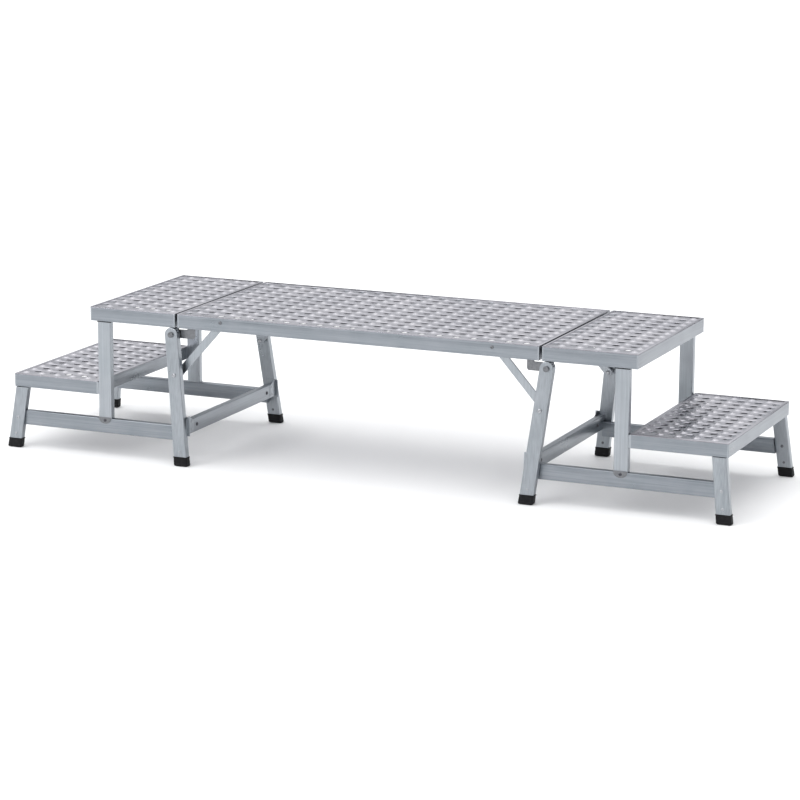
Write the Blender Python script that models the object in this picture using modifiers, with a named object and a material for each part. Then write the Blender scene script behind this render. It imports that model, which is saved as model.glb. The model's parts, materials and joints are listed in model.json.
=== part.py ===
"""Work platform bench: a bridge deck between two stepped end modules, metres, +Z up."""
import math

import bmesh
import bpy
from mathutils import Vector

# ---------------------------------------------------------------- driving dimensions
OBJECT_NAME = "work_platform_bench"
GAP = 0.0003             # working gap between touching pieces
HALF_DEPTH = 0.315       # centre line to the front face of the rails
DECK_TOP = 0.480
DECK_END = 0.913         # outer end of the upper deck
DECK_SPLIT = 0.6125      # inner end of each short deck
BRIDGE_END = 0.6035
STEP_TOP = 0.240
STEP_INNER = 0.892
STEP_OUTER = 1.195
RAIL_THICK = 0.025
RAIL_HIGH = 0.0425       # rail below its tread plate
TREAD_THICK = 0.0025
STEP_RAIL_HIGH = 0.0405
WALL = 0.002
TUBE_WIDE = 0.044
TUBE_DEEP = 0.022
EDGE_ROUND = 0.0015

PIN_X = 0.627
PIN_Z = 0.4115
PIN_R = 0.005
PIN_CLEARANCE = 0.0003
INNER_FOOT_X = 0.579     # leg centre line at the floor
INNER_SPLAY = 0.036      # how far the leg's front face comes forward at the floor
STEP_LEG_TOP_X = 1.1674
STEP_FOOT_X = 1.192
STEP_TOP_SPLAY = 0.003
STEP_FOOT_SPLAY = 0.019

POST_INNER = 0.843
POST_OUTER = 0.888
STRINGER_LOW = 0.074
STRINGER_HIGH = 0.121
CROSS_LOW = 0.0955
CROSS_HIGH = 0.1405
CROSS_THICK = 0.021

BOOT_HIGH = 0.030
BOOT_WALL = 0.002
BOOT_SOLE = 0.005

BRACE_TOP_X = 0.4534
BRACE_TOP_Z = 0.463
BRACE_FOOT_X = 0.612
BRACE_FOOT_Z = 0.285
BRACE_WIDE = 0.025
BRACE_THICK = 0.005
BRACE_HOLE_R = 0.0045

SIDE_NAMES = {1: "right", -1: "left"}
FACE_NAMES = {-1: "front", 1: "rear"}

RAIL_BOTTOM = DECK_TOP - TREAD_THICK - GAP - RAIL_HIGH
STEP_RAIL_BOTTOM = STEP_TOP - TREAD_THICK - GAP - STEP_RAIL_HIGH
STRAP_NEAR = RAIL_THICK - 0.0005     # strap planes, measured inward from the rail face
STRAP_FAR = 0.0303
BRACE_NEAR = RAIL_THICK + 2 * GAP
BRACE_FAR = BRACE_NEAR + BRACE_THICK
BRACKET_NEAR = 0.0310
BRACKET_FAR = 0.0350
BRACKET_HALF = 0.0115
PIN_FRONT = -0.0030                  # pin end, standing out of the leg's face
PIN_BACK = 0.0330
PIN_HEAD_R = 0.009
PIN_HEAD_FRONT = -0.0045
PIN_HEAD_BACK = -0.0012
STRAP_R = 0.0135
STRAP_WEB_IN = 0.556                 # inner end of the strap's web along the rail
STRAP_WEB_TOP = RAIL_BOTTOM + 0.030
STRAP_CORNER_R = 0.008
STRAP_OUTER_LOW = RAIL_BOTTOM - 0.0091
BOSS_R = 0.0095
BOSS_ROOT = 0.0015                   # how deep the brace boss starts in the leg's wall
HOLLOW_ABOVE_BRACE = 0.085           # the inner leg is hollow up to here above the brace bolt
BEARER_HALF = 0.0125
STRINGER_NEAR = -0.001
STRINGER_FAR = 0.021
TREAD_ROUND = 0.0008
OVERCUT = 0.010                      # how far a cutter runs past the faces that it opens
SHORT_OVERCUT = 0.004


# ---------------------------------------------------------------- scene helpers
def clear_scene():
    for item in list(bpy.data.objects):
        bpy.data.objects.remove(item, do_unlink=True)


def new_collection(name):
    collection = bpy.data.collections.new(name)
    bpy.context.scene.collection.children.link(collection)
    return collection


clear_scene()
PARTS = new_collection(OBJECT_NAME)
CUTTERS = new_collection("cutters")


def make_material(name, colour, roughness, metallic):
    material = bpy.data.materials.new(name)
    material.use_nodes = True
    shader = material.node_tree.nodes["Principled BSDF"]
    shader.inputs["Base Color"].default_value = (*colour, 1.0)
    shader.inputs["Roughness"].default_value = roughness
    shader.inputs["Metallic"].default_value = metallic
    material.diffuse_color = (*colour, 1.0)
    return material


RAIL_METAL = make_material("rail_aluminium", (0.62, 0.63, 0.64), 0.38, 1.0)
TREAD_METAL = make_material("tread_aluminium", (0.72, 0.73, 0.73), 0.30, 1.0)
STEEL = make_material("zinc_steel", (0.55, 0.56, 0.57), 0.32, 1.0)
BOOT_PLASTIC = make_material("boot_plastic", (0.020, 0.020, 0.022), 0.60, 0.0)


def mesh_object(name, verts, faces, material=None):
    mesh = bpy.data.meshes.new(name)
    mesh.from_pydata([tuple(v) for v in verts], [], faces)
    shape = bmesh.new()
    shape.from_mesh(mesh)
    bmesh.ops.recalc_face_normals(shape, faces=shape.faces)
    shape.to_mesh(mesh)
    shape.free()
    item = bpy.data.objects.new(name, mesh)
    if material is None:
        CUTTERS.objects.link(item)
        item.hide_render = True
        item.display_type = "WIRE"
    else:
        PARTS.objects.link(item)
        mesh.materials.append(material)
    return item


def add_bevel(item, width=EDGE_ROUND, segments=2):
    bevel = item.modifiers.new("edge_round", "BEVEL")
    bevel.width = width
    bevel.segments = segments
    bevel.limit_method = "ANGLE"
    bevel.angle_limit = math.radians(50)


def boolean(item, other, operation="DIFFERENCE"):
    change = item.modifiers.new(operation.lower(), "BOOLEAN")
    change.operation = operation
    change.solver = "EXACT"
    change.object = other


def prism(name, outline_a, outline_b, material=None):
    """Closed solid between two outlines with the same number of points."""
    count = len(outline_a)
    faces = [tuple(reversed(range(count))), tuple(range(count, 2 * count))]
    for index in range(count):
        after = (index + 1) % count
        faces.append((index, after, after + count, index + count))
    return mesh_object(name, list(outline_a) + list(outline_b), faces, material)


def block(name, low, high, material=None):
    outline = [(low[0], low[1]), (high[0], low[1]), (high[0], high[1]), (low[0], high[1])]
    return prism(name, [(x, y, low[2]) for x, y in outline],
                 [(x, y, high[2]) for x, y in outline], material)


def depth_y(face, inward):
    """Y of a plane lying `inward` of the rail face on the front (-1) or rear (+1)."""
    return face * (HALF_DEPTH - inward)


def arc(centre, radius, start, end, steps):
    points = []
    for index in range(steps + 1):
        angle = math.radians(start + (end - start) * index / steps)
        points.append((centre[0] + radius * math.cos(angle), centre[1] + radius * math.sin(angle)))
    return points


def plate_xz(name, outline, face, near, far, material=None):
    """Plate whose outline is drawn in X and Z, between two planes inward of the rail face."""
    y_near, y_far = depth_y(face, near), depth_y(face, far)
    return prism(name, [(x, y_near, z) for x, z in outline],
                 [(x, y_far, z) for x, z in outline], material)


def round_bore(name, centre, radius, face, near, far, steps=24):
    outline = arc(centre, radius, 0, 360 - 360 / steps, steps - 1)
    return plate_xz(name, outline, face, near, far)


# ---------------------------------------------------------------- deck frames
def frame_rails(prefix, x_low, x_high, z_low, high, end_names):
    """Four hollow rails with mitred corners; open tube ends meet in the mitres."""
    z_high = z_low + high
    half = HALF_DEPTH
    thick = RAIL_THICK
    rails = {}
    for face in (-1, 1):
        y_out, y_in = face * half, face * (half - thick)
        shape = [(x_low + GAP, y_out), (x_high - GAP, y_out),
                 (x_high - thick - GAP, y_in), (x_low + thick + GAP, y_in)]
        name = f"{prefix}_{FACE_NAMES[face]}_rail"
        rail = prism(name, [(x, y, z_low) for x, y in shape],
                     [(x, y, z_high) for x, y in shape], RAIL_METAL)
        y_pair = sorted((y_out - face * WALL, y_in + face * WALL))
        bore = block(f"cut_{name}", (x_low - OVERCUT, y_pair[0], z_low + WALL),
                     (x_high + OVERCUT, y_pair[1], z_high - WALL))
        add_bevel(rail)
        boolean(rail, bore)
        rails[FACE_NAMES[face]] = rail
    for end, label in end_names.items():
        x_out = x_low if end < 0 else x_high
        x_in = x_out - end * thick
        shape = [(x_out, -half + GAP), (x_out, half - GAP),
                 (x_in, half - thick - GAP), (x_in, -half + thick + GAP)]
        name = f"{prefix}_{label}_rail"
        rail = prism(name, [(x, y, z_low) for x, y in shape],
                     [(x, y, z_high) for x, y in shape], RAIL_METAL)
        x_pair = sorted((x_out - end * WALL, x_in + end * WALL))
        bore = block(f"cut_{name}", (x_pair[0], -half - OVERCUT, z_low + WALL),
                     (x_pair[1], half + OVERCUT, z_high - WALL))
        add_bevel(rail)
        boolean(rail, bore)
        rails[label] = rail
    return rails


def tread_plate(name, x_low, x_high, top):
    plate = block(name, (x_low, -HALF_DEPTH, top - TREAD_THICK), (x_high, HALF_DEPTH, top),
                  TREAD_METAL)
    add_bevel(plate, TREAD_ROUND)


def module_span(side, inner, outer):
    return sorted((side * inner, side * outer))


def end_labels(side):
    """Which end of a module frame faces away from the centre of the bench."""
    return {side: "outer", -side: "inner"}


def build_bridge():
    rails = frame_rails("bridge", -BRIDGE_END, BRIDGE_END, RAIL_BOTTOM, RAIL_HIGH,
                        {1: "right_end", -1: "left_end"})
    tread_plate("bridge_tread", -BRIDGE_END, BRIDGE_END, DECK_TOP)
    reach = HALF_DEPTH - RAIL_THICK - GAP
    bearer = block("bridge_middle_bearer", (-BEARER_HALF, -reach, RAIL_BOTTOM),
                   (BEARER_HALF, reach, RAIL_BOTTOM + RAIL_HIGH), RAIL_METAL)
    bore = block("cut_bearer", (-BEARER_HALF + WALL, -HALF_DEPTH, RAIL_BOTTOM + WALL),
                 (BEARER_HALF - WALL, HALF_DEPTH, RAIL_BOTTOM + RAIL_HIGH - WALL))
    add_bevel(bearer)
    boolean(bearer, bore)
    for face in (-1, 1):
        for side in (1, -1):
            boolean(rails[FACE_NAMES[face]], hinge_strap(side, face), "UNION")
            boolean(rails[FACE_NAMES[face]], strap_bore(side, face))


# ---------------------------------------------------------------- hinges
def hinge_strap(side, face):
    """Welded strap: web on the rail's inner face, bar running out to the module's pin."""
    web_out = BRIDGE_END - RAIL_THICK - GAP
    corner_z = PIN_Z - STRAP_R + STRAP_CORNER_R
    outline = [(STRAP_WEB_IN, STRAP_WEB_TOP), (STRAP_WEB_IN, corner_z)]
    outline += arc((STRAP_WEB_IN + STRAP_CORNER_R, corner_z), STRAP_CORNER_R, 180, 270, 4)[1:]
    outline += arc((PIN_X, PIN_Z), STRAP_R, -90, 90, 12)
    outline += [(web_out, STRAP_OUTER_LOW), (web_out, STRAP_WEB_TOP)]
    outline = [(side * x, z) for x, z in outline]
    label = f"{SIDE_NAMES[side]}_{FACE_NAMES[face]}"
    return plate_xz(f"join_strap_{label}", outline, face, STRAP_NEAR, STRAP_FAR)


def strap_bore(side, face):
    label = f"{SIDE_NAMES[side]}_{FACE_NAMES[face]}"
    return round_bore(f"cut_strap_{label}", (side * PIN_X, PIN_Z), PIN_R + PIN_CLEARANCE,
                      face, STRAP_NEAR - SHORT_OVERCUT, STRAP_FAR + SHORT_OVERCUT)


def hinge_bracket(side, face):
    """Plate under the short deck's inner rail with the hinge pin fixed in it."""
    label = f"{SIDE_NAMES[side]}_{FACE_NAMES[face]}"
    centre = (side * PIN_X, PIN_Z)
    outline = arc(centre, BRACKET_HALF, 180, 360, 12)
    outline += [(side * PIN_X + BRACKET_HALF, RAIL_BOTTOM - GAP),
                (side * PIN_X - BRACKET_HALF, RAIL_BOTTOM - GAP)]
    plate = plate_xz(f"{label}_hinge_bracket", outline, face, BRACKET_NEAR, BRACKET_FAR, STEEL)
    pin = round_bore(f"join_pin_{label}", centre, PIN_R, face, PIN_FRONT, PIN_BACK)
    head = round_bore(f"join_head_{label}", centre, PIN_HEAD_R, face, PIN_HEAD_FRONT,
                      PIN_HEAD_BACK)
    boolean(plate, pin, "UNION")
    boolean(plate, head, "UNION")


# ---------------------------------------------------------------- legs and boots
def inner_leg_place(z):
    share = z / PIN_Z
    centre = INNER_FOOT_X + (PIN_X - INNER_FOOT_X) * share
    return centre, -INNER_SPLAY * (1 - share)


def step_leg_place(z):
    share = z / STEP_RAIL_BOTTOM
    centre = STEP_FOOT_X + (STEP_LEG_TOP_X - STEP_FOOT_X) * share
    return centre, -STEP_FOOT_SPLAY + (STEP_FOOT_SPLAY - STEP_TOP_SPLAY) * share


def leaning_tube(name, place, side, face, z_low, z_high, grow=0.0, material=None):
    """Box section that follows a leaning leg between two heights, grown on all four sides."""
    rings = []
    for z in (z_low, z_high):
        centre, front = place(z)
        ring = []
        for across, inward in ((-1, 0), (1, 0), (1, 1), (-1, 1)):
            x = side * (centre + across * (TUBE_WIDE / 2 + grow))
            depth = front + inward * TUBE_DEEP + (2 * inward - 1) * grow
            ring.append((x, depth_y(face, depth), z))
        rings.append(ring)
    return prism(name, rings[0], rings[1], material)


def build_inner_leg(side, face):
    """Leg with a round head about the hinge pin, solid round the pin and hollow below."""
    label = f"{SIDE_NAMES[side]}_{FACE_NAMES[face]}"
    outlines = [[], []]
    low = BOOT_SOLE + GAP
    low_centre = inner_leg_place(low)[0]
    half = TUBE_WIDE / 2
    profile = [(low_centre + half, low)]
    profile += arc((PIN_X, PIN_Z), half, 0, 180, 16)
    profile += [(low_centre - half, low)]
    for layer in (0, 1):
        for x, z in profile:
            depth = inner_leg_place(z)[1] + layer * TUBE_DEEP
            outlines[layer].append((side * x, depth_y(face, depth), z))
    leg = prism(f"{label}_inner_leg", outlines[0], outlines[1], RAIL_METAL)
    boss = round_bore(f"join_boss_{label}", (side * BRACE_FOOT_X, BRACE_FOOT_Z), BOSS_R, face,
                      inner_leg_place(BRACE_FOOT_Z)[1] + TUBE_DEEP - BOSS_ROOT, RAIL_THICK)
    boolean(leg, leaning_tube(f"cut_inner_leg_{label}", inner_leg_place, side, face,
                              -OVERCUT, BRACE_FOOT_Z + HOLLOW_ABOVE_BRACE, grow=-WALL))
    boolean(leg, boss, "UNION")
    boolean(leg, round_bore(f"cut_pin_{label}", (side * PIN_X, PIN_Z), PIN_R + PIN_CLEARANCE,
                            face, -OVERCUT, TUBE_DEEP + OVERCUT))


def build_step_leg(side, face):
    label = f"{SIDE_NAMES[side]}_{FACE_NAMES[face]}"
    leg = leaning_tube(f"{label}_step_leg", step_leg_place, side, face, BOOT_SOLE + GAP,
                       STEP_RAIL_BOTTOM - GAP, material=RAIL_METAL)
    boolean(leg, leaning_tube(f"cut_step_leg_{label}", step_leg_place, side, face, -OVERCUT,
                              STEP_RAIL_BOTTOM + OVERCUT, grow=-WALL))


def build_boot(name, place, side, face):
    """Moulded boot, flat on the floor, with a pocket for the leg."""
    boot = leaning_tube(name, place, side, face, 0.0, BOOT_HIGH, grow=BOOT_WALL,
                        material=BOOT_PLASTIC)
    add_bevel(boot)
    boolean(boot, leaning_tube(f"cut_{name}", place, side, face, BOOT_SOLE, BOOT_HIGH + OVERCUT,
                               grow=GAP))


# ---------------------------------------------------------------- lower frame of a module
def build_post(side, face):
    label = f"{SIDE_NAMES[side]}_{FACE_NAMES[face]}"
    x_low, x_high = module_span(side, POST_INNER, POST_OUTER)
    y_low, y_high = sorted((depth_y(face, 0.0), depth_y(face, TUBE_DEEP)))
    z_low, z_high = STRINGER_HIGH + GAP, RAIL_BOTTOM - GAP
    post = block(f"{label}_post", (x_low, y_low, z_low), (x_high, y_high, z_high), RAIL_METAL)
    bore = block(f"cut_post_{label}", (x_low + WALL, y_low + WALL, z_low - OVERCUT),
                 (x_high - WALL, y_high - WALL, z_high + OVERCUT))
    add_bevel(post)
    boolean(post, bore)


def build_stringer(side, face):
    """Low rail from the cross rail out to the step leg, cut to the leg's lean."""
    label = f"{SIDE_NAMES[side]}_{FACE_NAMES[face]}"
    inner_end = cross_rail_centre() + CROSS_THICK / 2 + GAP
    rings = {"near": [], "far": []}
    for z in (STRINGER_LOW, STRINGER_HIGH):
        leg_side = step_leg_place(z)[0] - TUBE_WIDE / 2 - GAP
        ends = [inner_end, leg_side] if z == STRINGER_LOW else [leg_side, inner_end]
        for x in ends:
            rings["near"].append((side * x, depth_y(face, STRINGER_NEAR), z))
            rings["far"].append((side * x, depth_y(face, STRINGER_FAR), z))
    stringer = prism(f"{label}_stringer", rings["near"], rings["far"], RAIL_METAL)
    y_low, y_high = sorted((depth_y(face, STRINGER_NEAR + WALL),
                            depth_y(face, STRINGER_FAR - WALL)))
    x_low, x_high = module_span(side, inner_end - OVERCUT, STEP_FOOT_X)
    bore = block(f"cut_stringer_{label}", (x_low, y_low, STRINGER_LOW + WALL),
                 (x_high, y_high, STRINGER_HIGH - WALL))
    add_bevel(stringer)
    boolean(stringer, bore)


def cross_rail_centre():
    """Distance of the cross rail's centre line from the middle of the bench."""
    middle = (CROSS_LOW + CROSS_HIGH) / 2
    return inner_leg_place(middle)[0] - TUBE_WIDE / 2 + CROSS_THICK / 2


def build_cross_rail(side):
    """Rail joining the two inner legs near the floor, its ends cut to the legs' splay."""
    centre = cross_rail_centre()
    x_low, x_high = module_span(side, centre - CROSS_THICK / 2, centre + CROSS_THICK / 2)
    ends = {}
    for face in (-1, 1):
        ends[face] = []
        for z in (CROSS_LOW, CROSS_HIGH):
            depth = inner_leg_place(z)[1] + TUBE_DEEP + GAP
            xs = [x_low, x_high] if z == CROSS_LOW else [x_high, x_low]
            ends[face] += [(x, depth_y(face, depth), z) for x in xs]
    name = f"{SIDE_NAMES[side]}_cross_rail"
    rail = prism(name, ends[-1], ends[1], RAIL_METAL)
    reach = HALF_DEPTH + INNER_SPLAY + OVERCUT
    bore = block(f"cut_{name}", (x_low + WALL, -reach, CROSS_LOW + WALL),
                 (x_high - WALL, reach, CROSS_HIGH - WALL))
    add_bevel(rail)
    boolean(rail, bore)


def build_module(side):
    name = SIDE_NAMES[side]
    x_low, x_high = module_span(side, DECK_SPLIT, DECK_END)
    frame_rails(f"{name}_deck", x_low, x_high, RAIL_BOTTOM, RAIL_HIGH, end_labels(side))
    tread_plate(f"{name}_deck_tread", x_low, x_high, DECK_TOP)
    x_low, x_high = module_span(side, STEP_INNER, STEP_OUTER)
    frame_rails(f"{name}_step", x_low, x_high, STEP_RAIL_BOTTOM, STEP_RAIL_HIGH,
                end_labels(side))
    tread_plate(f"{name}_step_tread", x_low, x_high, STEP_TOP)
    build_cross_rail(side)
    for face in (-1, 1):
        label = f"{name}_{FACE_NAMES[face]}"
        build_inner_leg(side, face)
        build_step_leg(side, face)
        build_post(side, face)
        build_stringer(side, face)
        build_boot(f"{label}_inner_boot", inner_leg_place, side, face)
        build_boot(f"{label}_step_boot", step_leg_place, side, face)
        hinge_bracket(side, face)


# ---------------------------------------------------------------- braces
def build_brace(side, face):
    """Flat bar that locks a module open; it turns on the bolt in the bridge rail."""
    label = f"{SIDE_NAMES[side]}_{FACE_NAMES[face]}"
    run = Vector((BRACE_FOOT_X - BRACE_TOP_X, BRACE_FOOT_Z - BRACE_TOP_Z))
    heading = math.degrees(math.atan2(run.y, run.x))
    half = BRACE_WIDE / 2
    outline = arc((BRACE_TOP_X, BRACE_TOP_Z), half, heading + 90, heading + 270, 12)
    outline += arc((BRACE_FOOT_X, BRACE_FOOT_Z), half, heading - 90, heading + 90, 12)
    outline = [(side * x - side * BRACE_TOP_X, z - BRACE_TOP_Z) for x, z in outline]
    middle = depth_y(face, (BRACE_NEAR + BRACE_FAR) / 2)
    layers = []
    for offset in (-BRACE_THICK / 2, BRACE_THICK / 2):
        layers.append([(x, offset, z) for x, z in outline])
    bar = prism(f"{label}_brace", layers[0], layers[1], STEEL)
    bar.location = (side * BRACE_TOP_X, middle, BRACE_TOP_Z)
    for label_end, x, z in (("top", BRACE_TOP_X, BRACE_TOP_Z), ("foot", BRACE_FOOT_X, BRACE_FOOT_Z)):
        boolean(bar, round_bore(f"cut_brace_{label_end}_{label}", (side * x, z), BRACE_HOLE_R,
                                face, BRACE_NEAR - SHORT_OVERCUT, BRACE_FAR + SHORT_OVERCUT))


build_bridge()
for module_side in (1, -1):
    build_module(module_side)
    for module_face in (-1, 1):
        build_brace(module_side, module_face)
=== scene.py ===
"""Looks of the work platform bench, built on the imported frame. Metres, +Z up."""

import json
import math

import bmesh
import bpy
from mathutils import Matrix, Vector


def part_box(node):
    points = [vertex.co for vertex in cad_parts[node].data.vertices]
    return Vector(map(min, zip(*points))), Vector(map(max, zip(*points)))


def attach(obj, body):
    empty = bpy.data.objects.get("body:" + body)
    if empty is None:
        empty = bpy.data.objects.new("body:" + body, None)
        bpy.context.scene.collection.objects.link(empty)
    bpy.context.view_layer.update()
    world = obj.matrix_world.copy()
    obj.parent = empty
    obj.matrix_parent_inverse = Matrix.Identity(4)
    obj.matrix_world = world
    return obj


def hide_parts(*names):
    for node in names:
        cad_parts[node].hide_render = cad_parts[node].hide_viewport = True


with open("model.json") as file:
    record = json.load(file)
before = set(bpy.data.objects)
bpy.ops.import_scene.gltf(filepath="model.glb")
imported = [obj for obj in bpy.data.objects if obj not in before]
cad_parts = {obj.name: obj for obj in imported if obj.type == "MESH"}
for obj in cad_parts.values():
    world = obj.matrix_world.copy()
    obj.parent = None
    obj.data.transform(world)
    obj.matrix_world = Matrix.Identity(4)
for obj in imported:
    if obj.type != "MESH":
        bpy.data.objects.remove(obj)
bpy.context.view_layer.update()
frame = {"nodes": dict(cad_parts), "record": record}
NODES = frame["nodes"]

SIDES = {"right": 1, "left": -1}
FACES = {"front": -1, "rear": 1}
MODULES = {side: f"{side}_module" for side in SIDES}


def corners(node):
    low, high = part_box(node)
    return Vector(low), Vector(high)


DECK_LOW, DECK_HIGH = corners("bridge_tread")
HALF_DEPTH = DECK_HIGH.y
END_RAIL_LOW, END_RAIL_HIGH = corners("bridge_right_end_rail")
RAIL_THICK = END_RAIL_HIGH.x - END_RAIL_LOW.x
PIN = {side: sum(corners(f"{side}_front_hinge_bracket"), Vector()).x / 2 for side in SIDES}
PIN_Z = frame["record"]["behaviour"]["joints"][0]["pos_m"][2]
TUBE_WIDE = 0.044
TUBE_DEEP = 0.022
TUBE_CORNER_R = 0.0025
TUBE_WALL = 0.002
BRACE_HALF = 0.0125
BRACE_ROUND = 0.0012
BOOT_WALL = 0.002
BOOT_CORNER_R = 0.0045
BOOT_SCREW_Z = 0.046
RAIL_BOLT_Z = 0.098
SKIN = 0.0008                        # band of heights within which a CAD vertex counts as found
BOOT_SKIN = 0.0004                   # the same, for a boot
RAIL_SKIN = 0.0022                   # the same, for a cross rail with its rounded edges
GAP = 0.0003                         # clearance between pieces that don't belong together

# heads of the fasteners, as (radius, height)
BOOT_SCREW = (0.0042, 0.0022)
RAIL_BOLT = (0.0050, 0.0022)
HINGE_RIVET = (0.0058, 0.0030)
BRACE_FOOT_BOLT = (0.0072, 0.0042)
BRACE_FOOT_STUD = (0.0070, 0.0036)
BRACE_TOP_STUD = (0.0080, 0.0040)
BRACE_TOP_BOLT = (0.0056, 0.0026)
POST_BOLT = (0.0050, 0.0026)
CROSS_SCREW = (0.0060, 0.0028)
CHEEK_RIVET = (0.0040, 0.0018)


# ---------------------------------------------------------------- materials
def new_material(name):
    material = bpy.data.materials.new(name)
    material.use_nodes = True
    tree = material.node_tree
    return material, tree, tree.nodes["Principled BSDF"]


def texture_space(tree, scale=(1, 1, 1)):
    place = tree.nodes.new("ShaderNodeTexCoord")
    mapping = tree.nodes.new("ShaderNodeMapping")
    mapping.inputs["Scale"].default_value = scale
    tree.links.new(place.outputs["Object"], mapping.inputs["Vector"])
    return mapping.outputs["Vector"]


def noise(tree, vector, scale, detail=3.0, rough=0.5):
    node = tree.nodes.new("ShaderNodeTexNoise")
    node.inputs["Scale"].default_value = scale
    node.inputs["Detail"].default_value = detail
    node.inputs["Roughness"].default_value = rough
    tree.links.new(vector, node.inputs["Vector"])
    return node.outputs["Fac"]


def remap(tree, value, low, high, from_low=0.3, from_high=0.7):
    node = tree.nodes.new("ShaderNodeMapRange")
    node.inputs["From Min"].default_value = from_low
    node.inputs["From Max"].default_value = from_high
    node.inputs["To Min"].default_value = low
    node.inputs["To Max"].default_value = high
    tree.links.new(value, node.inputs["Value"])
    return node.outputs["Result"]


def ramp(tree, value, stops):
    node = tree.nodes.new("ShaderNodeValToRGB")
    elements = node.color_ramp.elements
    while len(elements) < len(stops):
        elements.new(0.5)
    for element, (place, colour) in zip(elements, stops):
        element.position = place
        element.color = (*colour, 1.0)
    tree.links.new(value, node.inputs["Fac"])
    return node.outputs["Color"]


def blend_colour(tree, share, first, second, mode="MIX"):
    node = tree.nodes.new("ShaderNodeMix")
    node.data_type = "RGBA"
    node.blend_type = mode
    tree.links.new(first, node.inputs["A"])
    tree.links.new(second, node.inputs["B"])
    if isinstance(share, float):
        node.inputs["Factor"].default_value = share
    else:
        tree.links.new(share, node.inputs["Factor"])
    return node.outputs["Result"]


def bump(tree, shader, height, distance, strength=1.0):
    node = tree.nodes.new("ShaderNodeBump")
    node.inputs["Distance"].default_value = distance
    node.inputs["Strength"].default_value = strength
    tree.links.new(height, node.inputs["Height"])
    tree.links.new(node.outputs["Normal"], shader.inputs["Normal"])


def drawn_aluminium(name, along, dark, light, rough_low=0.26, rough_high=0.42):
    """Extruded aluminium: fine die lines along the tube, handling marks and a soft tarnish."""
    material, tree, shader = new_material(name)
    stretch = [1.0 if axis == along else 60.0 for axis in "xyz"]
    lines = noise(tree, texture_space(tree, stretch), 5.0, 4.0, 0.6)
    cloud = noise(tree, texture_space(tree), 9.0, 4.0, 0.55)
    speck = noise(tree, texture_space(tree), 420.0, 2.0, 0.5)
    streaks = ramp(tree, lines, [(0.32, dark), (0.68, light)])
    patches = ramp(tree, cloud, [(0.35, (0.86, 0.88, 0.88)), (0.65, (1.0, 1.0, 1.0))])
    tree.links.new(blend_colour(tree, 1.0, streaks, patches, "MULTIPLY"),
                   shader.inputs["Base Color"])
    tree.links.new(remap(tree, cloud, rough_low, rough_high), shader.inputs["Roughness"])
    shader.inputs["Metallic"].default_value = 1.0
    height = tree.nodes.new("ShaderNodeMath")
    height.operation = "MULTIPLY_ADD"
    height.inputs[1].default_value = 0.25
    tree.links.new(speck, height.inputs[0])
    tree.links.new(lines, height.inputs[2])
    bump(tree, shader, height.outputs["Value"], 0.00012, 0.7)
    return material


def tread_aluminium(name):
    """Pressed sheet: rolled grain and tone patches, with painted shade darkening the sheet down
    into the pressed holes.
    """
    material, tree, shader = new_material(name)
    grain = noise(tree, texture_space(tree, (4, 90, 4)), 6.0, 3.0, 0.6)
    cloud = noise(tree, texture_space(tree), 7.0, 4.0, 0.6)
    base = ramp(tree, grain, [(0.3, (0.50, 0.49, 0.52)), (0.7, (0.61, 0.60, 0.64))])
    patches = ramp(tree, cloud, [(0.3, (0.88, 0.89, 0.90)), (0.7, (1.0, 1.0, 0.99))])
    # painted shade: the sheet's colour is multiplied down to a fifth as it sinks below the plate's
    # top into the pressed holes
    recess = tree.nodes.new("ShaderNodeAttribute")
    recess.attribute_name = "recess"
    recess_painted_shade = ramp(tree, recess.outputs["Fac"], [(0.0, (1.0, 1.0, 1.0)), (0.5, (0.55, 0.55, 0.57)),
                                              (1.0, (0.20, 0.20, 0.21))])
    colour = blend_colour(tree, 1.0, base, patches, "MULTIPLY")
    tree.links.new(blend_colour(tree, 1.0, colour, recess_painted_shade, "MULTIPLY"), shader.inputs["Base Color"])
    tree.links.new(remap(tree, cloud, 0.25, 0.36), shader.inputs["Roughness"])
    shader.inputs["Metallic"].default_value = 1.0
    bump(tree, shader, grain, 0.0001, 0.5)
    return material


def plated_steel(name, dark, light, roughness):
    """Zinc-plated fittings: slight blue-grey mottling and fine turning marks."""
    material, tree, shader = new_material(name)
    mottle = noise(tree, texture_space(tree), 160.0, 3.0, 0.6)
    fine = noise(tree, texture_space(tree), 900.0, 2.0, 0.5)
    tree.links.new(ramp(tree, mottle, [(0.3, dark), (0.7, light)]), shader.inputs["Base Color"])
    tree.links.new(remap(tree, mottle, roughness - 0.06, roughness + 0.08),
                   shader.inputs["Roughness"])
    shader.inputs["Metallic"].default_value = 1.0
    bump(tree, shader, fine, 0.00008, 0.5)
    return material


def boot_rubber(name):
    """Black moulded boot with a fine matt grain and a dusty, scuffed sole edge."""
    material, tree, shader = new_material(name)
    grain = noise(tree, texture_space(tree), 1400.0, 2.0, 0.5)
    scuff = noise(tree, texture_space(tree), 70.0, 5.0, 0.7)
    colour = ramp(tree, scuff, [(0.45, (0.004, 0.004, 0.005)), (0.62, (0.010, 0.010, 0.011)),
                                (0.75, (0.030, 0.029, 0.028))])
    tree.links.new(colour, shader.inputs["Base Color"])
    tree.links.new(remap(tree, scuff, 0.48, 0.68), shader.inputs["Roughness"])
    shader.inputs["Specular IOR Level"].default_value = 0.2
    bump(tree, shader, grain, 0.00015, 0.6)
    return material


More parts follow.
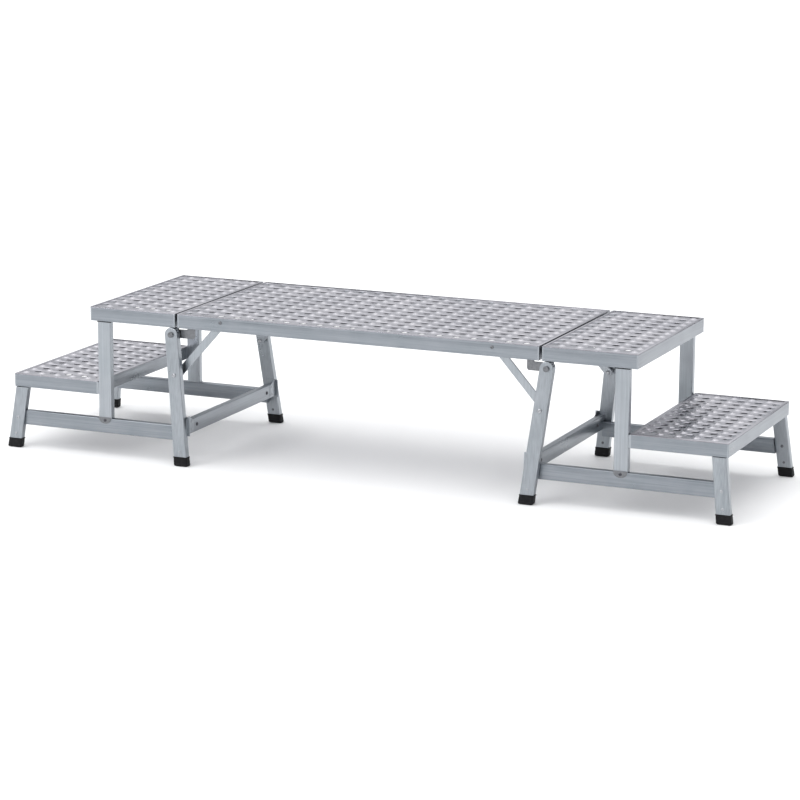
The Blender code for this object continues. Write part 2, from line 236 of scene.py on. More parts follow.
RAIL_X = drawn_aluminium("rail_along_x", "x", (0.25, 0.27, 0.295), (0.315, 0.335, 0.365))
RAIL_Y = drawn_aluminium("rail_along_y", "y", (0.29, 0.305, 0.33), (0.36, 0.38, 0.41))
RAIL_Z = drawn_aluminium("leg_along_z", "z", (0.33, 0.35, 0.375), (0.42, 0.445, 0.475))
TREAD = tread_aluminium("pressed_tread")
STEEL = plated_steel("zinc_plate", (0.36, 0.37, 0.39), (0.48, 0.49, 0.51), 0.30)
# darker copy of the zinc plate: painted shade for the hinge brackets, hinge rivets and bolts under
# the deck rails, and for heads on the legs' centre-facing sides
SHADE_DARKENED_STEEL = plated_steel("hinge_plate", (0.13, 0.135, 0.145), (0.21, 0.215, 0.225), 0.36)
# dark plate steel: painted shade for the shadowed saddle at each post's foot and for the hinge
# straps under the bridge rails
PAINTED_SHADE_STEEL = plated_steel("post_saddle", (0.15, 0.155, 0.165), (0.22, 0.225, 0.235), 0.34)
DARK_STEEL = plated_steel("dark_fastener", (0.07, 0.07, 0.08), (0.13, 0.13, 0.14), 0.38)
RUBBER = boot_rubber("boot_rubber")


# ---------------------------------------------------------------- mesh helpers
def make_object(name, verts, faces, material, body, smooth_angle=None):
    mesh = bpy.data.meshes.new(name)
    mesh.from_pydata([tuple(v) for v in verts], [], faces)
    shape = bmesh.new()
    shape.from_mesh(mesh)
    bmesh.ops.remove_doubles(shape, verts=shape.verts, dist=1e-6)
    bmesh.ops.recalc_face_normals(shape, faces=shape.faces)
    if smooth_angle is not None:
        for face in shape.faces:
            face.smooth = True
        for edge in shape.edges:
            sharp = len(edge.link_faces) != 2
            edge.smooth = not sharp and edge.calc_face_angle(0.0) < math.radians(smooth_angle)
    shape.to_mesh(mesh)
    shape.free()
    mesh.materials.append(material)
    item = bpy.data.objects.new(name, mesh)
    bpy.context.scene.collection.objects.link(item)
    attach(item, body)
    return item


def rounded_rectangle(wide, high, radius, steps=4):
    """Points round a rectangle centred on the origin, anticlockwise."""
    points = []
    for quarter, (sign_a, sign_b) in enumerate(((1, 1), (-1, 1), (-1, -1), (1, -1))):
        centre = (sign_a * (wide / 2 - radius), sign_b * (high / 2 - radius))
        for step in range(steps + 1):
            angle = math.pi / 2 * (quarter + step / steps)
            points.append((centre[0] + radius * math.cos(angle),
                           centre[1] + radius * math.sin(angle)))
    return points


def arc_points(centre, radius, start, end, steps):
    """Points along an arc between two angles in degrees."""
    points = []
    for step in range(steps + 1):
        angle = math.radians(start + (end - start) * step / steps)
        points.append((centre[0] + radius * math.cos(angle), centre[1] + radius * math.sin(angle)))
    return points


def ring_faces(rings, count, close_ends=True):
    """Quads between rings of the same number of points, with a cap at each end."""
    faces = []
    for ring in range(rings - 1):
        for index in range(count):
            after = (index + 1) % count
            faces.append((ring * count + index, ring * count + after,
                          (ring + 1) * count + after, (ring + 1) * count + index))
    if close_ends:
        faces.append(tuple(reversed(range(count))))
        faces.append(tuple(range((rings - 1) * count, rings * count)))
    return faces


def lathe(name, profile, place, axis, material, body, steps=24):
    """Turned piece: profile is (radius, height) pairs along the axis from the place."""
    turn = Vector((0, 0, 1)).rotation_difference(Vector(axis)).to_matrix()
    verts = []
    for radius, height in profile:
        for step in range(steps):
            angle = 2 * math.pi * step / steps
            spot = Vector((radius * math.cos(angle), radius * math.sin(angle), height))
            verts.append(Vector(place) + turn @ spot)
    make_object(name, verts, ring_faces(len(profile), steps), material, body, 32)


def round_head(name, place, axis, size, body, material=STEEL, recess=True):
    """Pan-head screw with a small drive recess, or rivet with a closed crown."""
    radius, height = size
    profile = [(radius * 0.96, 0.0), (radius, height * 0.18), (radius * 0.97, height * 0.45),
               (radius * 0.82, height * 0.76), (radius * 0.55, height * 0.95),
               (radius * 0.36, height)]
    if recess:
        profile += [(radius * 0.30, height * 0.95), (radius * 0.24, height * 0.55),
                    (radius * 0.02, height * 0.50)]
    else:
        profile += [(radius * 0.02, height * 1.02)]
    lathe(name, profile, place, axis, material, body)


# ---------------------------------------------------------------- extruded frames
GROOVE_DEEP = 0.00012
GROOVE_HALF = 0.0010
GROOVE_SHARES = (0.86, 0.14)         # heights of the two grooves, as shares of the rail
CORNER_R = 0.0018
TOP_CORNER_R = 0.0004
RAIL_RISE = 0.00025                  # the extrusion's top lip stands this far above the CAD rail
SEAM_R = 0.0032
SEAM_INSET = SEAM_R * 0.86
WELD_R = 0.0026
WELD_SHORT = 0.003                   # a bead stops this far from the rail's edges
RIPPLE = 0.0022                      # length of one ripple of a bead


def rail_section(high):
    """Outline in (inward, up): rounded corners and two shallow grooves on the outer face."""
    points = []
    edge_r = TOP_CORNER_R
    for centre, start, radius in (((CORNER_R, CORNER_R), 180, CORNER_R),
                                  ((RAIL_THICK - CORNER_R, CORNER_R), 270, CORNER_R),
                                  ((RAIL_THICK - edge_r, high - edge_r), 0, edge_r),
                                  ((edge_r, high - edge_r), 90, edge_r)):
        points += arc_points(centre, radius, start, start + 90, 3)
    for share in GROOVE_SHARES:
        middle = high * share
        points += [(0.0, middle + GROOVE_HALF), (GROOVE_DEEP, middle + GROOVE_HALF * 0.4),
                   (GROOVE_DEEP, middle - GROOVE_HALF * 0.4), (0.0, middle - GROOVE_HALF)]
    return points


def mitred_rail(node, low, high, out_axis, out_sign, body, material):
    """Extrusion along X or Y whose ends are cut at 45 degrees towards its outer face."""
    section = rail_section(high.z - low.z + RAIL_RISE)
    along = 1 - out_axis
    face_at = high[out_axis] if out_sign > 0 else low[out_axis]
    verts = []
    for end_sign in (-1, 1):
        end_at = high[along] if end_sign > 0 else low[along]
        for inward, up in section:
            spot = Vector((0, 0, low.z + up))
            spot[out_axis] = face_at - out_sign * inward
            spot[along] = end_at - end_sign * inward
            verts.append(spot)
    rail = make_object(f"{node}_extrusion", verts, ring_faces(2, len(section)), material, body,
                       40)
    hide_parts(node)


def weld_bead(name, start, end, radius, body):
    """Ripple-like bead lying in an inside corner."""
    start, end = Vector(start), Vector(end)
    run = end - start
    steps = max(6, int(run.length / RIPPLE))
    count = 8
    turn = Vector((0, 0, 1)).rotation_difference(run.normalized()).to_matrix()
    verts = []
    for step in range(steps + 1):
        swell = 1.0 + 0.16 * math.cos(step * 2.1)
        if step in (0, steps):
            swell = 0.45
        for index in range(count):
            angle = 2 * math.pi * index / count
            spot = Vector((math.cos(angle), math.sin(angle), 0)) * (radius * swell)
            verts.append(start + run * step / steps + turn @ spot)
    make_object(name, verts, ring_faces(steps + 1, count), STEEL, body, 60)


def ground_corner(name, x, y, z_low, z_high, body):
    """Ground-down weld that rounds off the outer corner of a mitred frame."""
    lathe(name, [(SEAM_R * 0.5, 0.0), (SEAM_R, 0.0012), (SEAM_R, z_high - z_low - 0.0006),
                 (SEAM_R * 0.7, z_high - z_low + 0.0002)],
          (x, y, z_low), (0, 0, 1), RAIL_Z, body, steps=20)


def frame_set(prefix, body, ends):
    """The four mitred rails of one deck or step frame, with welds in the inner corners."""
    for face, sign in FACES.items():
        node = f"{prefix}_{face}_rail"
        low, high = corners(node)
        if prefix == "bridge":       # its CAD node also has the straps in it
            low.z, high.z = END_RAIL_LOW.z, END_RAIL_HIGH.z
            low.x, high.x = DECK_LOW.x, DECK_HIGH.x
        low.y, high.y = sorted((sign * HALF_DEPTH, sign * (HALF_DEPTH - RAIL_THICK)))
        mitred_rail(node, low, high, 1, sign, body, RAIL_X)
    for label, sign in ends.items():
        node = f"{prefix}_{label}_rail"
        low, high = corners(node)
        mitred_rail(node, low, high, 0, sign, body, RAIL_Y)
        inner = low.x if sign > 0 else high.x
        outer = high.x if sign > 0 else low.x
        for face, face_sign in FACES.items():
            ground_corner(f"{prefix}_{label}_{face}_corner", outer - sign * SEAM_INSET,
                          face_sign * (HALF_DEPTH - SEAM_INSET), low.z, high.z, body)
            y = face_sign * (HALF_DEPTH - RAIL_THICK)
            weld_bead(f"{prefix}_{label}_{face}_weld", (inner, y, low.z + WELD_SHORT),
                      (inner, y, high.z - WELD_SHORT), WELD_R, body)


# ---------------------------------------------------------------- tread plates
PITCH_X = 0.0566
PITCH_Y = 0.0511
DOME_R = 0.0141
DOME_HIGH = 0.0036
DOME_TOP_R = 0.0046
DOME_HOLE_R = 0.0030
DOME_STEPS = 6
DOME_SINK = 0.35                     # share of a dome's height that lies below the CAD plate's top
HOLE_R = 0.0100
RIM_R = 0.0140
RIM_DROP = 0.0022
LIP_DEEP = 0.0062
EDGE_LIP = 0.0027
SIDE_STEPS = 8
END_STEPS = 4
SHEET = 0.0016
FOLD_R = 0.0016                      # rounding of the sheet's folded-down edge


def tile_edge(half_x, half_y):
    """Evenly spaced points round a tile, with the circle angle that each one leads to."""
    sides = (((half_x, half_y), (-half_x, half_y), END_STEPS),
             ((-half_x, half_y), (-half_x, -half_y), SIDE_STEPS),
             ((-half_x, -half_y), (half_x, -half_y), END_STEPS),
             ((half_x, -half_y), (half_x, half_y), SIDE_STEPS))
    total = 2 * (SIDE_STEPS + END_STEPS)
    first = math.pi / 2 - math.pi * END_STEPS / total
    edge = []
    for start, end, steps in sides:
        for step in range(steps):
            share = step / steps
            angle = first + 2 * math.pi * len(edge) / total
            edge.append((start[0] + (end[0] - start[0]) * share,
                         start[1] + (end[1] - start[1]) * share, angle))
    return edge


def tile_rings(kind, lip):
    """(radius, height) pairs from the edge of a dome or pressed hole towards its middle."""
    if kind == "dome":
        rings = []
        for step in range(DOME_STEPS + 1):
            share = step / DOME_STEPS
            climb = share - math.sin(2 * math.pi * share) / (8 * math.pi)
            rings.append((DOME_R + (DOME_TOP_R - DOME_R) * share, DOME_HIGH * climb))
        return rings + [(DOME_HOLE_R * 1.2, DOME_HIGH), (DOME_HOLE_R, DOME_HIGH * 0.86),
                        (DOME_HOLE_R, DOME_HIGH * 0.2)]
    return [(RIM_R, 0.0), (RIM_R * 0.94, -RIM_DROP * 0.25), (HOLE_R * 1.10, -RIM_DROP * 0.8),
            (HOLE_R, -RIM_DROP), (HOLE_R, -lip)]


def add_tile(verts, faces, x, y, top, kind, lip):
    """One raised dome or pressed drain hole with the flat sheet round it."""
    edge = tile_edge(PITCH_X / 4, PITCH_Y / 2)
    count = len(edge)
    start = len(verts)
    verts += [(x + px, y + py, top) for px, py, _ in edge]
    rings = tile_rings(kind, lip)
    for radius, height in rings:
        verts += [(x + radius * math.cos(angle), y + radius * math.sin(angle), top + height)
                  for _, _, angle in edge]
    for ring in range(len(rings)):
        for index in range(count):
            after = (index + 1) % count
            base = start + ring * count
            faces.append((base + index, base + after, base + count + after, base + count + index))


def add_half_tile(verts, faces, x, y, top):
    """Flat half tile that evens out a column shifted by half a pitch."""
    half_x, half_y = PITCH_X / 4, PITCH_Y / 4
    steps = SIDE_STEPS // 2
    start = len(verts)
    for row in range(steps + 1):
        for column in range(END_STEPS + 1):
            verts.append((x - half_x + 2 * half_x * column / END_STEPS,
                          y - half_y + 2 * half_y * row / steps, top))
    wide = END_STEPS + 1
    for row in range(steps):
        for column in range(END_STEPS):
            base = start + row * wide + column
            faces.append((base, base + 1, base + 1 + wide, base + wide))


def tread_piece(node, columns, rows, order, full, body):
    """Pressed sheet: columns of domes and of drain holes, shifted by half a pitch."""
    low, high = corners(node)
    top = high.z - DOME_HIGH * DOME_SINK
    centre = (low + high) / 2
    verts, faces = [], []
    end_y = rows * PITCH_Y / 2
    for column in range(columns * 2):
        x = centre.x + (column - columns + 0.5) * PITCH_X / 2
        kind = order[column % 2]
        count = rows if kind == full else rows - 1
        for row in range(count):
            y = centre.y + (row - (count - 1) / 2) * PITCH_Y
            lip = EDGE_LIP if row in (0, count - 1) else LIP_DEEP
            add_tile(verts, faces, x, y, top, kind, lip)
        if kind != full:
            for end in (-1, 1):
                add_half_tile(verts, faces, x, centre.y + end * (end_y - PITCH_Y / 4), top)
    faces += border_faces(verts, centre, columns * PITCH_X / 2, end_y, low, high, top)
    sheet = make_object(f"{node}_sheet", verts, faces, TREAD, body, 35)
    # depth below the plate's top, from 0 to 1 over the rim's drop; the tread material turns it into
    # painted shade in the holes
    shade_depth = sheet.data.attributes.new("recess", "FLOAT", "POINT")
    for index, vertex in enumerate(sheet.data.vertices):
        shade_depth.data[index].value = min(1.0, max(0.0, (top - vertex.co.z) / RIM_DROP))
    thick = sheet.modifiers.new("sheet", "SOLIDIFY")
    thick.thickness = SHEET
    thick.offset = -1.0
    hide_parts(node)


def border_faces(verts, centre, inner_x, inner_y, low, high, top):
    """Flat margin round the pattern with a rounded fold down its outer edge."""
    drop = top - low.z - 0.0002
    outer_x, outer_y = (high.x - low.x) / 2, (high.y - low.y) / 2
    shapes = [(inner_x, inner_y, 0.0)]
    for inset, down in ((FOLD_R, 0.0), (FOLD_R * 0.3, -FOLD_R * 0.3), (0.0, -FOLD_R), (0.0, -drop)):
        shapes.append((outer_x - inset, outer_y - inset, down))
    loops = []
    for half_x, half_y, down in shapes:
        loops.append(len(verts))
        verts += [(centre.x + sx * half_x, centre.y + sy * half_y, top + down)
                  for sx, sy in ((-1, -1), (1, -1), (1, 1), (-1, 1))]
    faces = []
    for first, second in zip(loops, loops[1:]):
        for index in range(4):
            after = (index + 1) % 4
            faces.append((first + index, first + after, second + after, second + index))
    return faces


# ---------------------------------------------------------------- legs, posts and boots
def open_tube(node, low_ring, high_ring, body):
    """Rounded box tube between two four-cornered sections, in place of its CAD node."""
    verts = []
    for ring in (low_ring, high_ring):
        middle = sum(ring, Vector()) / 4
        across = (ring[1] - ring[0]) / 2
        inward = (ring[3] - ring[0]) / 2
        for a, b in rounded_rectangle(2 * across.length, 2 * inward.length, TUBE_CORNER_R):
            verts.append(middle + across.normalized() * a + inward.normalized() * b)
    faces = ring_faces(2, len(verts) // 2, close_ends=False)
    tube = make_object(f"{node}_tube", verts, faces, RAIL_Z, body, 40)
    thick = tube.modifiers.new("wall", "SOLIDIFY")
    thick.thickness = TUBE_WALL
    thick.offset = -1.0
    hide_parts(node)


def box_ring(x_low, x_high, y_low, y_high, z):
    return [Vector((x_low, y_low, z)), Vector((x_high, y_low, z)),
            Vector((x_high, y_high, z)), Vector((x_low, y_high, z))]


def section_ring(node, z):
    """Corners of a CAD node's section near a height, read from its vertices."""
    points = [v.co for v in NODES[node].data.vertices if abs(v.co.z - z) < SKIN]
    xs = [p.x for p in points]
    ys = [p.y for p in points]
    return box_ring(min(xs), max(xs), min(ys), max(ys), z)


def plate_xz(name, outline, y_near, y_far, material, body, round_edge=0.0006):
    """Plate drawn in X and Z between two Y planes, with softened edges."""
    count = len(outline)
    verts = [(x, y_near, z) for x, z in outline] + [(x, y_far, z) for x, z in outline]
    item = make_object(name, verts, ring_faces(2, count), material, body)
    soften(item, round_edge)
    return item


def soften(item, width, segments=2, angle=35):
    bevel = item.modifiers.new("soft_edge", "BEVEL")
    bevel.width = width
    bevel.segments = segments
    bevel.limit_method = "ANGLE"
    bevel.angle_limit = math.radians(angle)


def leg_foot(side, face):
    """Middle of an inner leg's outer face at the leg's lowest edge."""
    node = f"{side}_{face}_inner_leg"
    ring = section_ring(node, min(v.co.z for v in NODES[node].data.vertices))
    return (ring[0] + ring[1]) / 2 if FACES[face] < 0 else (ring[2] + ring[3]) / 2


def leg_at(side, face, z):
    """Centre X and outer-face Y of an inner leg at any height."""
    foot = leg_foot(side, face)
    top = Vector((PIN[side], FACES[face] * HALF_DEPTH, PIN_Z))
    share = (z - foot.z) / (top.z - foot.z)
    return foot.x + (top.x - foot.x) * share, foot.y + (top.y - foot.y) * share


def inner_leg(side, face):
    """Leaning leg with a round top, its hinge rivet and its boot screws."""
    node = f"{side}_{face}_inner_leg"
    body = MODULES[side]
    foot = leg_foot(side, face)
    half = TUBE_WIDE / 2
    outline = arc_points((PIN[side], PIN_Z), half, 0, 180, 24)
    outline += [(foot.x - half, foot.z), (foot.x + half, foot.z)]
    verts = []
    for layer in (0, 1):
        for x, z in outline:
            outer = leg_at(side, face, z)[1]
            verts.append((x, outer - FACES[face] * layer * TUBE_DEEP, z))
    leg = make_object(f"{node}_tube", verts, ring_faces(2, len(outline)), RAIL_Z, body)
    soften(leg, 0.0022, 3, 50)
    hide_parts(node)
    # the rivet takes the darker steel: painted shade under the deck rail
    round_head(f"{node}_rivet", (PIN[side], FACES[face] * HALF_DEPTH, PIN_Z), (0, FACES[face], 0),
               HINGE_RIVET, body, SHADE_DARKENED_STEEL, recess=False)
    x, y = leg_at(side, face, BOOT_SCREW_Z)
    screw_pair(f"{node}_boot_screw", (x, y, BOOT_SCREW_Z), face, BOOT_SCREW, body)


def screw_pair(name, place, face, size, body):
    """Pan heads on the outer and inner wide faces of a leg; the place is on the outer one."""
    sign = FACES[face]
    x, y, z = place
    round_head(f"{name}_outer", place, (0, sign, 0), size, body)
    # the inner head takes the darker steel: painted shade on the leg's centre-facing side
    round_head(f"{name}_inner", (x, y - sign * TUBE_DEEP, z), (0, -sign, 0), size, body,
               SHADE_DARKENED_STEEL)


def brace_ends(side, face):
    """(X, Z) of a brace's upper and lower pivots."""
    low, high = corners(f"{side}_{face}_brace")
    reach = sorted((abs(low.x), abs(high.x)))
    return (Vector((SIDES[side] * (reach[0] + BRACE_HALF), high.z - BRACE_HALF)),
            Vector((SIDES[side] * (reach[1] - BRACE_HALF), low.z + BRACE_HALF)))


def brace_fittings(side, face):
    """Bolts and studs at a brace's two ends, and the spacer between its lower end and the leg."""
    node, body = f"{side}_{face}_brace", MODULES[side]
    bar_body = f"{node}_bar"
    sign = FACES[face]
    low, high = corners(node)
    bar_back, bar_front = (sign * y for y in sorted((abs(low.y), abs(high.y))))
    top, foot = brace_ends(side, face)
    leg_face = leg_at(side, face, foot.y)[1]
    leg_back = leg_face - sign * TUBE_DEEP
    space = abs(leg_back - bar_front)
    lathe(f"{node}_spacer",
          [(0.0055, -0.001), (0.0088, -0.0005), (0.0088, 0.004), (0.0078, 0.005),
           (0.0078, space - 0.0006), (0.0055, space - 0.0004)],
          (foot.x, leg_back, foot.y), (0, -sign, 0), STEEL, body)
    round_head(f"{node}_foot_bolt", (foot.x, leg_face, foot.y), (0, sign, 0), BRACE_FOOT_BOLT,
               body)
    round_head(f"{node}_foot_stud", (foot.x, bar_back, foot.y), (0, -sign, 0), BRACE_FOOT_STUD,
               bar_body, recess=False)
    round_head(f"{node}_top_stud", (top.x, bar_back, top.y), (0, -sign, 0), BRACE_TOP_STUD,
               bar_body, recess=False)
    # the darker steel is painted shade under the bridge rail
    round_head(f"{node}_top_bolt", (top.x, sign * HALF_DEPTH, top.y), (0, sign, 0),
               BRACE_TOP_BOLT, "bridge", SHADE_DARKENED_STEEL)


def brace_bar(side, face):
    """Flat diagonal bar with round ends."""
    node = f"{side}_{face}_brace"
    low, high = corners(node)
    top, foot = brace_ends(side, face)
    run = foot - top
    heading = math.degrees(math.atan2(run.y, run.x))
    outline = arc_points(top, BRACE_HALF, heading + 90, heading + 270, 16)
    outline += arc_points(foot, BRACE_HALF, heading - 90, heading + 90, 16)
    bar = plate_xz(f"{node}_bar", outline, low.y, high.y, RAIL_Z, f"{node}_bar",
                   BRACE_ROUND)
    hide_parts(node)


def upright_post(side, face):
    node = f"{side}_{face}_post"
    low, high = corners(node)
    rings = [box_ring(low.x, high.x, low.y, high.y, z) for z in (low.z, high.z)]
    open_tube(node, *rings, MODULES[side])


def step_leg(side, face):
    """Leaning leg under the step, with its boot screws and the bolts of the low side rail."""
    node = f"{side}_{face}_step_leg"
    body = MODULES[side]
    low, high = corners(node)
    low_ring, high_ring = section_ring(node, low.z), section_ring(node, high.z)
    open_tube(node, low_ring, high_ring, body)
    for label, z, size in (("boot_screw", BOOT_SCREW_Z, BOOT_SCREW),
                           ("rail_bolt", RAIL_BOLT_Z, RAIL_BOLT)):
        share = (z - low.z) / (high.z - low.z)
        spots = [a.lerp(b, share) for a, b in zip(low_ring, high_ring)]
        x = (spots[0].x + spots[1].x) / 2
        y = spots[0].y if FACES[face] < 0 else spots[2].y
        screw_pair(f"{node}_{label}", (x, y, z), face, size, body)


def section_middle(node, z):
    """Middle of a boot's outline at one of its two ends."""
    points = [v.co for v in NODES[node].data.vertices if abs(v.co.z - z) < BOOT_SKIN]
    xs, ys = [p.x for p in points], [p.y for p in points]
    return Vector(((min(xs) + max(xs)) / 2, (min(ys) + max(ys)) / 2))


def boot(node, body):
    """Moulded boot: swollen foot with grip ribs, waisted middle and a rolled top lip."""
    low, high = corners(node)
    low_middle, high_middle = (section_middle(node, z) for z in (low.z, high.z))
    high_z = high.z
    layers = [(0.0, -0.0042), (0.0008, -0.0024), (0.0022, -0.0009), (0.0042, 0.0),
              (0.0050, -0.0005), (0.0062, 0.0), (0.0080, 0.0), (0.0092, -0.0006), (0.0104, -0.0001),
              (0.0200, -0.0004), (0.0255, -0.0006), (0.0265, 0.0002), (0.0292, 0.0002),
              (high_z, -0.0008), (high_z, -0.0020)]
    verts = []
    for z, grow in layers:
        middle = low_middle.lerp(high_middle, z / high_z)
        for a, b in rounded_rectangle(TUBE_WIDE + 2 * (BOOT_WALL + grow),
                                      TUBE_DEEP + 2 * (BOOT_WALL + grow), BOOT_CORNER_R, 5):
            verts.append((middle.x + a, middle.y + b, z))
    count = len(verts) // len(layers)
    shell = make_object(f"{node}_moulding", verts, ring_faces(len(layers), count), RUBBER, body,
                        45)
    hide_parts(node)


# ---------------------------------------------------------------- hinges and lower frame
STRAP_WEB_IN = 0.556                 # inner end of the strap's web along the rail
STRAP_WEB_HIGH = 0.030
STRAP_CORNER_R = 0.008
STRAP_DROP = 0.009                   # how far the strap's outer edge hangs below the rail
STRAP_WELD_R = 0.0016
LOW_RAIL_R = 0.0022
SADDLE_HALF = 0.0215
SADDLE_DEEP = 0.016
SADDLE_THICK = 0.0014
SADDLE_STEPS = 16
CROSS_SCREW_IN = 0.063               # cross rail screws, in from the deck's long side
END_PLATE_HALF = 0.020
END_PLATE_THICK = 0.0024
CHEEK_THICK = 0.0010
CHEEK_GAP = 0.0002
SHADOW_BAND_WIDER = 0.0015                  # how far a post's painted shadow band stands out past it, along X
SHADOW_BAND_OUT = 0.0008                    # the same on the bench's outer side
SHADOW_BAND_IN = 0.0010                     # the same on its inner side
SHADOW_BAND_LOW = 0.0022
SHADOW_BAND_HIGH = 0.0002
SHIM_BITE = 0.0002                   # how far a shim reaches into the post and the rail
SHIM_LOW = 0.0015
SHIM_HIGH = 0.0008
SHIM_INSET = 0.0006


def hinge_strap(side, face):
    """Strap welded inside the bridge rail that runs out to the module's hinge pin."""
    sign, face_sign = SIDES[side], FACES[face]
    low, high = corners(f"bridge_{face}_rail")
    radius = PIN_Z - low.z
    y_far = face_sign * min(abs(low.y), abs(high.y))
    y_near = face_sign * (HALF_DEPTH - RAIL_THICK)
    web_out = END_RAIL_LOW.x - GAP
    rail_low = END_RAIL_LOW.z
    corner_z = low.z + STRAP_CORNER_R
    outline = [(STRAP_WEB_IN, rail_low + STRAP_WEB_HIGH), (STRAP_WEB_IN, corner_z)]
    outline += arc_points((STRAP_WEB_IN + STRAP_CORNER_R, corner_z), STRAP_CORNER_R,
                          180, 270, 6)[1:]
    outline += arc_points((abs(PIN[side]), PIN_Z), radius, -90, 90, 16)
    outline += [(web_out, rail_low - STRAP_DROP), (web_out, rail_low + STRAP_WEB_HIGH)]
    outline = [(sign * x, z) for x, z in outline]
    # the strap is drawn in the dark plate: painted shade under the bridge rail
    plate_xz(f"{side}_{face}_hinge_strap", outline, y_near, y_far, PAINTED_SHADE_STEEL, "bridge")
    for x in (STRAP_WEB_IN, web_out):
        weld_bead(f"{side}_{face}_strap_weld_{int(x * 1000)}",
                  (sign * x, y_near, rail_low + 0.004), (sign * x, y_near, rail_low + 0.028),
                  STRAP_WELD_R, "bridge")


def stringer(side, face):
    """Low side rail of a module, its outer end cut to the step leg, with the post's saddle."""
    node = f"{side}_{face}_stringer"
    body = MODULES[side]
    low, high = corners(node)
    sign, face_sign = SIDES[side], FACES[face]
    near_end = low.x if sign > 0 else high.x
    low_end, high_end = (sign * max(sign * p.x for p in section_ring(node, z))
                         for z in (low.z, high.z))
    middle = (low + high) / 2
    outline = rounded_rectangle(high.y - low.y, high.z - low.z, LOW_RAIL_R, 3)
    verts = [(near_end, middle.y + b, middle.z + c) for b, c in outline]
    for b, c in outline:
        share = (middle.z + c - low.z) / (high.z - low.z)
        verts.append((low_end + (high_end - low_end) * share, middle.y + b, middle.z + c))
    rail = make_object(f"{node}_extrusion", verts, ring_faces(2, len(outline)), RAIL_X, body,
                       40)
    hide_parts(node)
    outer_y = face_sign * max(abs(low.y), abs(high.y))
    saddle_y = outer_y + face_sign * SADDLE_THICK
    post_low, post_high = corners(f"{side}_{face}_post")
    post_x = (post_low.x + post_high.x) / 2
    saddle = []
    for step in range(SADDLE_STEPS + 1):
        angle = math.pi * step / SADDLE_STEPS
        saddle.append((post_x + SADDLE_HALF * math.cos(angle),
                       high.z - 0.001 - SADDLE_DEEP * math.sin(angle)))
    saddle += [(post_x - SADDLE_HALF, high.z + 0.004), (post_x + SADDLE_HALF, high.z + 0.004)]
    # the saddle is drawn dark: painted shadow at the foot of the post
    plate_xz(f"{node}_post_saddle", saddle, outer_y, saddle_y, PAINTED_SHADE_STEEL, body)
    round_head(f"{node}_post_bolt", (post_x, saddle_y, high.z - 0.006), (0, face_sign, 0),
               POST_BOLT, body, DARK_STEEL)


def cross_rail(side):
    """Low rail between the inner legs, both ends cut to the legs' lean."""
    node = f"{side}_cross_rail"
    body = MODULES[side]
    sign = SIDES[side]
    low, high = corners(node)
    points = [v.co for v in NODES[node].data.vertices]
    low_reach, high_reach = (max(p.y for p in points if abs(p.z - z) < RAIL_SKIN)
                             for z in (low.z, high.z))
    middle = (low + high) / 2
    outline = rounded_rectangle(high.x - low.x, high.z - low.z, LOW_RAIL_R, 3)
    verts = []
    for end in (-1, 1):
        for a, c in outline:
            share = (middle.z + c - low.z) / (high.z - low.z)
            y = end * (low_reach + (high_reach - low_reach) * share)
            verts.append((middle.x + a, y, middle.z + c))
    rail = make_object(f"{node}_extrusion", verts, ring_faces(2, len(outline)), RAIL_Y, body,
                       40)
    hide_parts(node)
    inner_x = low.x if sign > 0 else high.x
    for face, face_sign in FACES.items():
        plate_cheek(side, face, inner_x, low.z, high.z, body)
        end_plate(side, face, middle.x, low.z, high.z, body)
        screw_y = face_sign * (HALF_DEPTH - CROSS_SCREW_IN)
        for x, heading in ((low.x, -1), (high.x, 1)):
            round_head(f"{node}_{face}_screw_{'x' if heading > 0 else 'w'}", (x, screw_y, middle.z),
                       (heading, 0, 0), CROSS_SCREW, body, DARK_STEEL)


def end_plate(side, face, centre_x, z_low, z_high, body):
    """Plate between the cross rail's end and the leg, leaning with the leg."""
    face_sign = FACES[face]
    verts = []
    for z in (z_low - 0.003, z_high + 0.012):
        back = leg_at(side, face, z)[1] - face_sign * (TUBE_DEEP + CHEEK_GAP)
        for x in (centre_x - END_PLATE_HALF, centre_x + END_PLATE_HALF):
            for thick in (0.0, END_PLATE_THICK):
                verts.append((x, back - face_sign * thick, z))
    faces = [(0, 1, 3, 2), (4, 6, 7, 5), (0, 4, 5, 1), (2, 3, 7, 6), (0, 2, 6, 4), (1, 5, 7, 3)]
    plate = make_object(f"{side}_{face}_cross_end_plate", verts, faces, RAIL_Z, body)
    soften(plate, 0.0008)


def plate_cheek(side, face, inner_x, z_low, z_high, body):
    """Folded end plate that laps the leg's centre-facing side and the cross rail."""
    sign, face_sign = SIDES[side], FACES[face]
    y_out = face_sign * (HALF_DEPTH + 0.012)
    y_in = face_sign * (HALF_DEPTH - 0.040)
    outline = [(y_in, z_low + 0.004), (y_out, z_low + 0.002), (y_out, z_high + 0.006),
               (face_sign * (HALF_DEPTH - 0.008), z_high + 0.014),
               (y_in, z_high - 0.004)]
    x_near, x_far = (inner_x - sign * away for away in (CHEEK_GAP, CHEEK_GAP + CHEEK_THICK))
    verts = [(x_near, y, z) for y, z in outline] + [(x_far, y, z) for y, z in outline]
    cheek = make_object(f"{side}_{face}_cross_cheek", verts, ring_faces(2, len(outline)), RAIL_Z,
                        body)
    soften(cheek, 0.0006)
    rivet_y = y_out + (y_in - y_out) * 0.72
    for z in (z_low + 0.012, z_high - 0.008):
        round_head(f"{side}_{face}_cheek_rivet_{int(z * 1000)}", (x_far, rivet_y, z),
                   (-sign, 0, 0), CHEEK_RIVET, body, recess=False)


